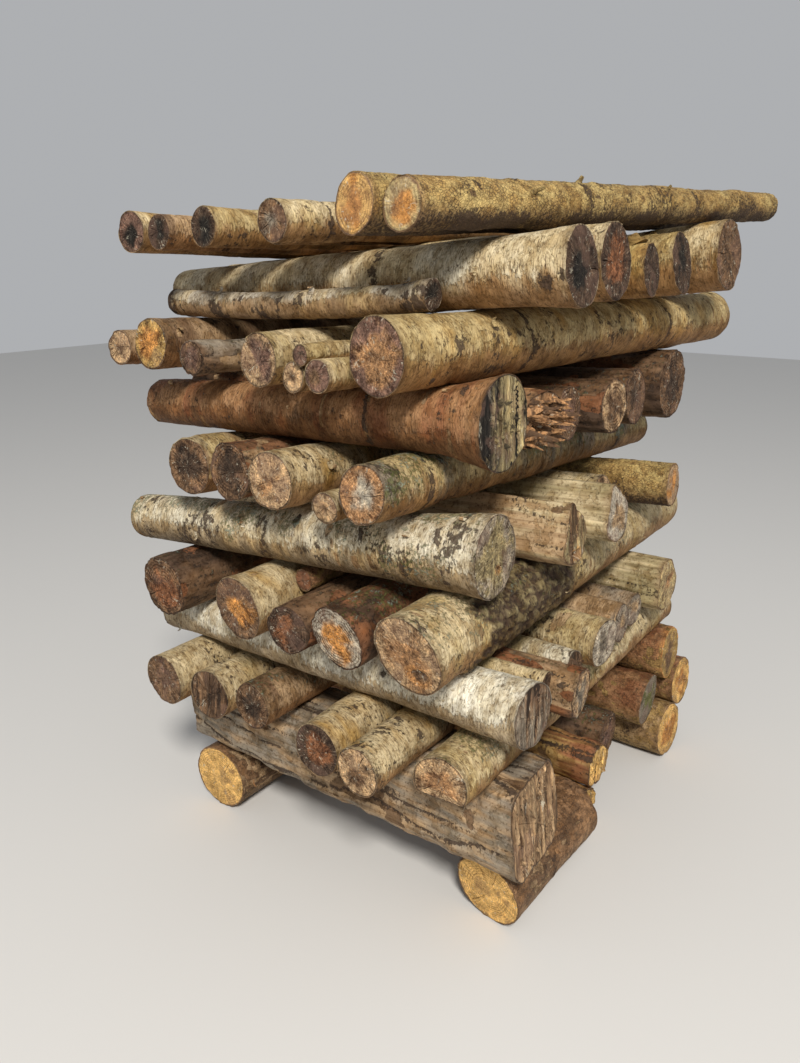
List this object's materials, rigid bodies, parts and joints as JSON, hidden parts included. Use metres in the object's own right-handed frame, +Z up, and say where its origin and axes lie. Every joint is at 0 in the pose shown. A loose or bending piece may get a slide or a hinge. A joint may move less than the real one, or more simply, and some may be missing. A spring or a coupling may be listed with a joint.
{
  "type": "stack of logs",
  "caption": "Free-standing crib of birch, spruce and pine logs laid course by course at right angles, with sawn, split and rotten ends.",
  "frame": {"origin": "centre of the stack's footprint box, on the ground", "axes": "+Z up; +Y from the front to the back, along the even courses; +X to the right, along the odd courses"},
  "size_m": [1.2246, 1.5394, 1.7087],
  "materials": {
    "birch": "peeling silver and cream birch bark, sawn ends",
    "spruce": "scaly brown bark, orange sawn ends",
    "pine": "flaky orange-brown bark, sawn ends",
    "dark_log": "dark wet bark, stained ends",
    "split_wood": "split and weathered wood",
    "rotten_wood": "weathered grey and rotten brown wood"
  },
  "bodies": {
    "root": {"bearers": "pine", "corner_billet_1": "pine", "corner_billet_2": "pine", "corner_billet_3": "pine", "corner_billet_4": "birch", "course_10_log_1": "spruce", "course_10_log_2": "spruce", "course_10_log_3": "birch", "course_10_log_4": "birch", "course_10_small_logs": "birch", "course_2_log_1": "birch", "course_2_log_2": "birch", "course_2_log_3": "birch", "course_2_log_4": "birch", "course_2_log_5": "birch", "course_2_log_6": "birch", "course_3_log_1": "birch", "course_3_log_2": "birch", "course_3_log_3": "birch", "course_3_log_4": "birch", "course_3_log_5": "birch", "course_3_split_log": "split_wood", "course_3_thin_logs": "birch", "course_4_log_1": "birch", "course_4_log_2": "birch", "course_4_log_3": "dark_log", "course_4_log_4": "birch", "course_4_log_5": "dark_log", "course_4_log_6": "birch", "course_5_log_1": "birch", "course_5_log_2": "birch", "course_5_log_3": "spruce", "course_5_split_log_1": "split_wood", "course_5_split_log_2": "split_wood", "course_6_log_1": "birch", "course_6_log_2": "birch", "course_6_log_3": "birch", "course_6_log_4": "dark_log", "course_6_log_5": "birch", "course_7_back_logs": "dark_log", "course_7_log_1": "dark_log", "course_7_log_2": "spruce", "course_7_log_3": "dark_log", "course_7_log_4": "dark_log", "course_8_log_1": "birch", "course_8_log_2": "birch", "course_8_log_3": "dark_log", "course_8_log_4": "birch", "course_8_log_5": "birch", "course_8_thin_logs": "birch", "course_9_log_1": "birch", "course_9_log_2": "birch", "course_9_log_3": "birch", "course_9_log_4": "birch", "course_9_log_5": "birch", "course_9_pole": "birch", "ground_billets": "dark_log", "rotten_billet_high": "rotten_wood", "rotten_billet_low": "rotten_wood", "squared_sill_log": "rotten_wood"}
  },
  "joints": []
}
